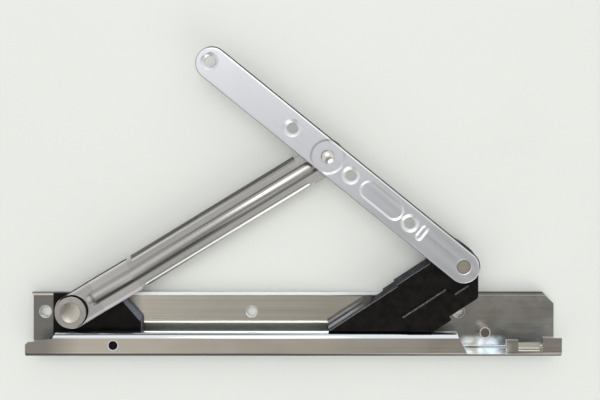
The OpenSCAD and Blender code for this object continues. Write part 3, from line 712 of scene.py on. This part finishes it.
class STAY_OT_support_arm(bpy.types.Operator):
    """Finish the pressed support arm"""
    bl_idname = "stay.support_arm"
    bl_label = "Support arm"

    def execute(self, context):
        settings = context.scene.stay_steel
        colour = settings.support_colour
        material, tree, shader, metal, rough = steel(
            "Pressed arm steel", colour, settings.satin - SUPPORT_POLISH, SUPPORT_ANGLE, SUPPORT_STREAKS,
            SUPPORT_TINT)
        coordinates = put(tree, "ShaderNodeTexCoord").outputs
        across = reach(tree, coordinates["Object"], SUPPORT_ACROSS)
        offset = maths(tree, "SUBTRACT", across, MAIN_PIVOT.dot(SUPPORT_ACROSS))
        side = reach(tree, coordinates["Normal"], SUPPORT_ACROSS)
        from_pivot = distance_from(tree, MAIN_PIVOT.x, MAIN_PIVOT.y)
        flat_part = spread(tree, from_pivot, FLAT_PART)

        # Painted shade on the fold along one long side of the arm
        fold = both(tree, spread(tree, side, FOLD_FACING), spread(tree, offset, FOLD_SIDE))
        fold_shaded = mix_colour(tree, fold, metal, toned(colour, FOLD_SHADING))
        inset = maths(tree, "SUBTRACT", SUPPORT_HALF, maths(tree, "ABSOLUTE", offset))
        # Painted highlight line near both edges of the flat end
        line = spread(tree, away_from(tree, inset, BRIGHT_LINE), FLAT_LINE, FLAT_LINE_SHARE)
        lined = mix_colour(tree, both(tree, line, flat_part), fold_shaded, settings.painted_highlight_colour)
        # Painted shade along one long side of the arm
        flat_edge = both(tree, spread(tree, offset, FLAT_EDGE), flat_part)
        shaded_side = either(tree, spread(tree, side, SHADED_SIDE_FACING), flat_edge)
        # Painted shade along the bead's foot and on the shaded side
        shadowy = either(tree, self.grooves(tree, offset, from_pivot), shaded_side)
        wire(tree, mix_colour(tree, shadowy, lined, settings.shading_and_cut_edge_colour), shader.inputs["Base Color"])
        wire(tree, rough, shader.inputs["Roughness"])
        dress("support_arm", material)
        round_edges("support_arm", SUPPORT_ROUNDING * settings.edge_width)
        return {"FINISHED"}

    def grooves(self, tree, offset, from_pivot):
        """Mask of painted shade along both sides of the pressed bead's foot and round its start, stronger on
        one side.
        """
        right = self.groove(tree, offset, -GROOVE_OFFSET, RIGHT_GROOVE_SHARE)
        left = self.groove(tree, offset, GROOVE_OFFSET, LEFT_GROOVE_SHARE)
        beaded = spread(tree, from_pivot, (BEAD_START - BEAD_BLUR, BEAD_START + BEAD_BLUR))
        long_grooves = both(tree, either(tree, right, left), beaded)
        at_start = spread(tree, away_from(tree, from_pivot, BEAD_START), END_GROOVE, END_GROOVE_SHARE)
        on_bead = spread(tree, maths(tree, "ABSOLUTE", offset), BEAD_SIDE)
        return either(tree, long_grooves, both(tree, at_start, on_bead))

    def groove(self, tree, offset, centre, share):
        """Mask of painted shade along the foot on one side of the pressed bead."""
        return both(tree, spread(tree, away_from(tree, offset, centre), GROOVE, smooth=True), share)


class STAY_OT_sash_arm(bpy.types.Operator):
    """Finish the flat sash arm"""
    bl_idname = "stay.sash_arm"
    bl_label = "Sash arm"

    def execute(self, context):
        settings = context.scene.stay_steel
        material, tree, shader, metal, rough = steel(
            "Satin sash arm steel", settings.sash_colour, settings.satin, SASH_ANGLE, SASH_STREAKS, SASH_TINT)
        slope = maths(tree, "ABSOLUTE", parts(tree, "Normal")["Z"])
        inset, upper_side = self.outline(tree)
        sunk = both(tree, spread(tree, slope, PRESSED_FACING), spread(tree, inset, PRESSED_INSET))
        off_boss = spread(tree, distance_from(tree, MIDDLE_PIVOT.x, MIDDLE_PIVOT.y), BOSS_SLOPE)
        # Painted highlight on the pressed slopes, with painted shade on the slope round the middle rivet
        relief = mix_colour(tree, off_boss, settings.boss_shading_colour, settings.slope_highlight_colour)
        pressed = mix_colour(tree, sunk, metal, relief)
        # Painted highlight line along the upper long side
        line = both(tree, upper_side, spread(tree, away_from(tree, inset, BRIGHT_LINE), SASH_LINE_WIDTH))
        lit = mix_colour(tree, line, pressed, settings.painted_highlight_colour)
        # Dark rounded outline: partly the cut edges' own darker colour, partly painted shade; the upper side
        # gets painted shade
        steep = both(tree, spread(tree, inset, STEEP_INSET), spread(tree, slope, STEEP_FACING))
        shaded_side = both(tree, upper_side, spread(tree, inset, SHADED_SIDE_INSET))
        edge = either(tree, steep, shaded_side)
        wire(tree, mix_colour(tree, edge, lit, settings.shading_and_cut_edge_colour), shader.inputs["Base Color"])
        wire(tree, rough, shader.inputs["Roughness"])
        dress("sash_arm", material)
        round_edges("sash_arm", SASH_ROUNDING * settings.edge_width, whole_flats=True)
        return {"FINISHED"}

    def outline(self, tree):
        """How far a point lies inside the arm's rounded plan, and a mask of its upper long side."""
        low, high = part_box("sash_arm")
        tip = Vector((low.x + SASH_HALF, high.y - SASH_HALF, 0.0))
        root = Vector((END_PIVOT.x, END_PIVOT.y, 0.0))
        line = tip - root
        plan = put(tree, "ShaderNodeVectorMath", operation="MULTIPLY_ADD")
        wire(tree, put(tree, "ShaderNodeTexCoord").outputs["Object"], plan.inputs[0])
        plan.inputs[1].default_value = (1.0, 1.0, 0.0)
        plan.inputs[2].default_value = -root
        point = plan.outputs["Vector"]
        along = spread(tree, reach(tree, point, line.normalized()), (0.0, line.length), line.length)
        nearest = put(tree, "ShaderNodeVectorMath", operation="SCALE")
        nearest.inputs[0].default_value = line.normalized()
        wire(tree, along, nearest.inputs["Scale"])
        apart = put(tree, "ShaderNodeVectorMath", operation="DISTANCE")
        wire(tree, point, apart.inputs[0])
        wire(tree, nearest.outputs["Vector"], apart.inputs[1])
        inset = maths(tree, "SUBTRACT", SASH_HALF, apart.outputs["Value"])
        across = reach(tree, point, Vector((line.y, -line.x, 0.0)).normalized())
        return inset, spread(tree, across, UPPER_SIDE)


class STAY_OT_rivets(bpy.types.Operator):
    """Finish the rivets, the stop pin and the plain steel washers"""
    bl_idname = "stay.rivets"
    bl_label = "Rivets and stop pin"

    def execute(self, context):
        settings = context.scene.stay_steel
        low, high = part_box("stop_pin")
        pin = (low + high) / 2
        plain = settings.rivet_colour
        dome = settings.dome_colour
        flush = settings.end_rivet_colour
        pieces = [
            Turned("main_rivet", MAIN_PIVOT, plain, roughness=0.22, radius=7.35 * MM, rim_share=0.0),
            Turned("mid_rivet", MIDDLE_PIVOT, dome, roughness=0.16, radius=3.3 * MM, rim_share=0.5),
            Turned("end_rivet", END_PIVOT, flush, roughness=0.34, radius=3.3 * MM, rim_share=0.9),
            Turned("stop_pin", pin, dome, roughness=0.42, radius=3.2 * MM, rim_share=0.1),
            Turned("mid_spacer", MIDDLE_PIVOT, plain, roughness=0.35, radius=6.3 * MM, rim_share=0.3),
            Turned("mid_back_washer", MIDDLE_PIVOT, plain, roughness=0.35, radius=5.3 * MM, rim_share=0.3),
            Turned("end_back_washer", END_PIVOT, plain, roughness=0.35, radius=6.3 * MM, rim_share=0.3),
        ]
        for piece in pieces:
            material, tree, shader, distance, metal = self.turned(piece)
            if piece.node == "main_rivet":
                metal = self.dished(tree, settings, distance, metal)
            if piece.node == "stop_pin":
                metal = self.worn(tree, settings, distance, metal, high.z)
            wire(tree, metal, shader.inputs["Base Color"])
            dress(piece.node, material)
            round_edges(piece.node, RIVET_ROUNDING * settings.edge_width)
        return {"FINISHED"}

    def turned(self, piece):
        """Turned steel with rings, stains and a dark rim; returns its material, tree, shader and sockets."""
        material, tree, shader = new_material("Turned " + piece.node.replace("_", " "))
        shader.inputs["Metallic"].default_value = 1.0
        turning = effect(tree, "Turned rings", Centre_X=piece.centre.x, Centre_Y=piece.centre.y)
        smudges = effect(tree, "Handling marks", Cloud_size=RIVET_CLOUD_SIZE)["Smudges"]
        darker = toned(piece.colour, TURNED_TINT)
        lined = mix_colour(tree, both(tree, turning["Rings"], RING_SHARE), piece.colour, darker)
        stained = mix_colour(tree, both(tree, smudges, RIVET_STAIN_SHARE), lined, darker)
        limits = (piece.radius - RIM_START, piece.radius - RIM_END)
        rim = both(tree, spread(tree, turning["Distance"], limits, smooth=True), piece.rim_share)
        rimmed = mix_colour(tree, rim, stained, darker)
        smoothest = piece.roughness - RIVET_POLISH
        uneven = maths(tree, "MULTIPLY_ADD", smudges, RIVET_STAIN_ROUGHNESS, smoothest)
        wire(tree, uneven, shader.inputs["Roughness"])
        add_bump(tree, shader, turning["Rings"], RING_DEPTH, FINE_RELIEF)
        return material, tree, shader, turning["Distance"], rimmed

    def dished(self, tree, settings, distance, metal):
        """Colour of the main rivet's head with its dish and the dark line round it."""
        dish = mix_colour(tree, spread(tree, distance, DISH), metal, settings.dish_colour)
        line = spread(tree, away_from(tree, distance, DISH_RADIUS), DISH_LINE, DISH_LINE_SHARE)
        return mix_colour(tree, line, dish, toned(settings.rivet_colour, TURNED_TINT))

    def worn(self, tree, settings, distance, metal, top):
        """Colour of the stop pin with its worn top."""
        heights = (top - WORN_TOP_START, top - WORN_TOP_END)
        on_top = spread(tree, parts(tree, "Object")["Z"], heights)
        worn_top = both(tree, on_top, spread(tree, distance, WORN_TOP))
        return mix_colour(tree, worn_top, metal, settings.pin_top_colour)


def moulded(name, colour, roughness, glinting, sheen, across=WING_ACROSS, gleam=None):
    """Moulded plastic with grain and mottling, painted sheen on its walls and painted glints on its edges;
    gleam adds a painted low band.
    """
    material, tree, shader = new_material(name)
    shader.inputs["Specular IOR Level"].default_value = MOULDED_SHINE
    grain = effect(tree, "Moulded grain")
    edges = effect(tree, "Edge glints", Across_X=across[0], Across_Y=across[1])
    mottled = mix_colour(tree, grain["Mottle"], colour, toned(colour, MOTTLE_TINT))
    walls = mix_colour(tree, edges["Walls"], mottled, sheen)
    if gleam is not None:
        place = parts(tree, "Object")
        low_band = spread(tree, away_from(tree, place["Z"], GLEAM_HEIGHT), GLEAM_BAND)
        band = both(tree, low_band, spread(tree, place["X"], GLEAM_END))
        walls = mix_colour(tree, both(tree, band, edges["Walls"]), walls, gleam)
    # Painted glints on the edges that face one direction in plan
    worn = mix_colour(tree, both(tree, edges["Edges"], GLINT_SHARE), walls, glinting)
    wire(tree, worn, shader.inputs["Base Color"])
    smoothest = roughness - MOTTLE_ROUGHNESS / 2
    uneven = maths(tree, "MULTIPLY_ADD", grain["Mottle"], MOTTLE_ROUGHNESS, smoothest)
    wire(tree, uneven, shader.inputs["Roughness"])
    add_bump(tree, shader, grain["Grain"], GRAIN_DEPTH, GRAIN_RELIEF)
    return material


class STAY_OT_black_pieces(bpy.types.Operator):
    """Finish the slider, the pivot block, the bush and the dark washers"""
    bl_idname = "stay.black_pieces"
    bl_label = "Slider and block"

    def execute(self, context):
        settings = context.scene.stay_black
        black = settings.block_colour
        gleam = settings.gleam_colour
        slider = moulded("Satin slider plastic", settings.slider_colour, settings.roughness,
                         settings.glint_colour, settings.sheen_colour, gleam=settings.band_colour)
        # The block gets its painted gleam on its edges and walls
        block = moulded("Satin block plastic", black, settings.roughness, gleam, gleam, across=BLOCK_ACROSS)
        washer = moulded("Dark washer plastic", black, settings.roughness + WASHER_DULLNESS, black, black)
        finishes = {"slider": slider, "pivot_block": block, "main_bush": washer, "main_washer": washer,
                    "mid_washer": washer, "end_washer": washer}
        for node, material in finishes.items():
            dress(node, material)
            round_edges(node, settings.edge_width)
        return {"FINISHED"}


class STAY_OT_friction_pad(bpy.types.Operator):
    """Finish the friction pad and its leaf spring"""
    bl_idname = "stay.friction_pad"
    bl_label = "Friction pad"

    def execute(self, context):
        black = context.scene.stay_black
        bright = context.scene.stay_steel
        brown = black.pad_colour
        # Painted glints on the pad's edges
        glinting = toned(brown, PAD_GLINT_TINT)
        pad = moulded("Brown pad plastic", brown, black.roughness + PAD_DULLNESS, glinting, brown)
        dress("friction_pad", pad)
        round_edges("friction_pad", black.edge_width)
        spring, tree, shader, metal, rough = steel(
            "Bright spring steel", bright.sash_colour, bright.satin - SPRING_POLISH, 0.0, SPRING_STREAKS,
            SPRING_TINT)
        wire(tree, metal, shader.inputs["Base Color"])
        wire(tree, rough, shader.inputs["Roughness"])
        dress("pad_spring", spring)
        return {"FINISHED"}


class STAY_OT_stage(bpy.types.Operator):
    """Set the pale table, the room's soft light and the camera"""
    bl_idname = "stay.stage"
    bl_label = "Stage"

    def execute(self, context):
        settings = context.scene.stay_stage
        self.lay_table(context, settings)
        self.light_room(context, settings)
        self.hang_softbox(context, settings)
        self.aim_camera(context, settings)
        context.scene.view_settings.view_transform = "Standard"
        return {"FINISHED"}

    def lay_table(self, context, settings):
        """Lays the pale table top just under the track's back."""
        signs = ((-1, -1), (1, -1), (1, 1), (-1, 1))
        corners = [(x * TABLE_HALF, y * TABLE_HALF, -TABLE_DROP) for x, y in signs]
        mesh = bpy.data.meshes.new("table_top")
        mesh.from_pydata(corners, [], [(0, 1, 2, 3)])
        table = bpy.data.objects.new("table_top", mesh)
        context.scene.collection.objects.link(table)
        material, tree, shader = new_material("Pale table top")
        smudges = effect(tree, "Handling marks", Cloud_size=TABLE_CLOUD_SIZE)["Smudges"]
        colour = settings.table_colour
        cloudy = mix_colour(tree, smudges, colour, toned(colour, TABLE_TINT))
        wire(tree, cloudy, shader.inputs["Base Color"])
        shader.inputs["Roughness"].default_value = TABLE_ROUGHNESS
        shader.inputs["Specular IOR Level"].default_value = TABLE_SHINE
        mesh.materials.append(material)

    def light_room(self, context, settings):
        """Lights the scene from a pale room, which the camera itself sees as more of the table."""
        world = bpy.data.worlds.new("Soft room")
        world.use_nodes = True
        tree = world.node_tree
        tree.nodes.clear()
        direction = put(tree, "ShaderNodeTexCoord").outputs["Generated"]
        rise = put(tree, "ShaderNodeSeparateXYZ")
        wire(tree, direction, rise.inputs[0])

        dim = spread(tree, reach(tree, direction, DIM_PART), DIM_NEARNESS)
        ceiling = mix_colour(tree, dim, settings.room_light, settings.dim_light)
        corner = both(tree, spread(tree, reach(tree, direction, DARK_CORNER), CORNER_NEARNESS, smooth=True),
                      spread(tree, rise.outputs["Z"], CORNER_RISE, smooth=True))
        skirting = both(tree, spread(tree, rise.outputs["Z"], SKIRTING_RISE, smooth=True),
                        spread(tree, rise.outputs["Y"], FAR_SIDE, smooth=True))
        walls = mix_colour(tree, either(tree, corner, skirting), ceiling, settings.wall_light)
        high = spread(tree, reach(tree, direction, HIGH_WINDOW), HIGH_NEARNESS, smooth=True)
        front = spread(tree, reach(tree, direction, FRONT_WINDOW), FRONT_NEARNESS, smooth=True)
        room = put(tree, "ShaderNodeVectorMath", operation="MULTIPLY_ADD")
        wire(tree, either(tree, high, front), room.inputs[0])
        room.inputs[1].default_value = toned(settings.window_light, settings.window_strength)
        wire(tree, walls, room.inputs[2])

        light = put(tree, "ShaderNodeBackground", {"Strength": settings.room_strength})
        wire(tree, room.outputs["Vector"], light.inputs["Color"])
        seen = put(tree, "ShaderNodeBackground", {"Color": (*settings.table_colour, 1.0), "Strength": 1.0})
        blend = put(tree, "ShaderNodeMixShader")
        wire(tree, put(tree, "ShaderNodeLightPath").outputs["Is Camera Ray"], blend.inputs["Fac"])
        wire(tree, light.outputs[0], blend.inputs[1])
        wire(tree, seen.outputs[0], blend.inputs[2])
        wire(tree, blend.outputs[0], put(tree, "ShaderNodeOutputWorld").inputs["Surface"])
        context.scene.world = world

    def hang_softbox(self, context, settings):
        """Hangs a wide softbox over the table."""
        lamp = bpy.data.lights.new("Overhead softbox", "AREA")
        lamp.shape = "RECTANGLE"
        lamp.size = SOFTBOX_SIZE
        lamp.size_y = SOFTBOX_SIZE
        lamp.energy = settings.lamp_power
        softbox = bpy.data.objects.new("overhead_softbox", lamp)
        softbox.location = SOFTBOX_PLACE
        softbox.visible_glossy = False
        softbox.rotation_mode = "QUATERNION"
        softbox.rotation_quaternion = (SOFTBOX_AIM - SOFTBOX_PLACE).to_track_quat("-Z", "Y")
        context.scene.collection.objects.link(softbox)

    def aim_camera(self, context, settings):
        """Hangs the camera straight over the table, with its lens shifted towards the track."""
        data = bpy.data.cameras.new("Photo camera")
        data.sensor_width = SENSOR_WIDTH
        data.lens = settings.lens
        data.shift_y = settings.framing
        data.clip_start = NEAR_LIMIT
        camera = bpy.data.objects.new("photo_camera", data)
        camera.location = (CAMERA_X, CAMERA_Y, settings.camera_height)
        context.scene.collection.objects.link(camera)
        context.scene.camera = camera


PIECE_OPERATORS = (STAY_OT_track, STAY_OT_support_arm, STAY_OT_sash_arm, STAY_OT_rivets, STAY_OT_black_pieces,
                   STAY_OT_friction_pad, STAY_OT_stage)


class STAY_PT_panel(bpy.types.Panel):
    """Lists the settings and the pieces to finish"""
    bl_label = "Friction stay"
    bl_idname = "STAY_PT_panel"
    bl_space_type = "VIEW_3D"
    bl_region_type = "UI"
    bl_category = "Friction stay"

    def draw(self, context):
        for group in (context.scene.stay_steel, context.scene.stay_black, context.scene.stay_stage):
            box = self.layout.box()
            for name in group.__annotations__:
                box.prop(group, name)
        for operator in PIECE_OPERATORS:
            self.layout.operator(operator.bl_idname)


CLASSES = (StaySteelSettings, StayBlackSettings, StayStageSettings, *PIECE_OPERATORS, STAY_PT_panel)


def register():
    for item in CLASSES:
        bpy.utils.register_class(item)
    bpy.types.Scene.stay_steel = PointerProperty(type=StaySteelSettings)
    bpy.types.Scene.stay_black = PointerProperty(type=StayBlackSettings)
    bpy.types.Scene.stay_stage = PointerProperty(type=StayStageSettings)


def unregister():
    del bpy.types.Scene.stay_stage
    del bpy.types.Scene.stay_black
    del bpy.types.Scene.stay_steel
    for item in reversed(CLASSES):
        bpy.utils.unregister_class(item)


def main():
    register()
    bpy.ops.stay.track()
    bpy.ops.stay.support_arm()
    bpy.ops.stay.sash_arm()
    bpy.ops.stay.rivets()
    bpy.ops.stay.black_pieces()
    bpy.ops.stay.friction_pad()
    bpy.ops.stay.stage()


if __name__ == "__main__":
    main()
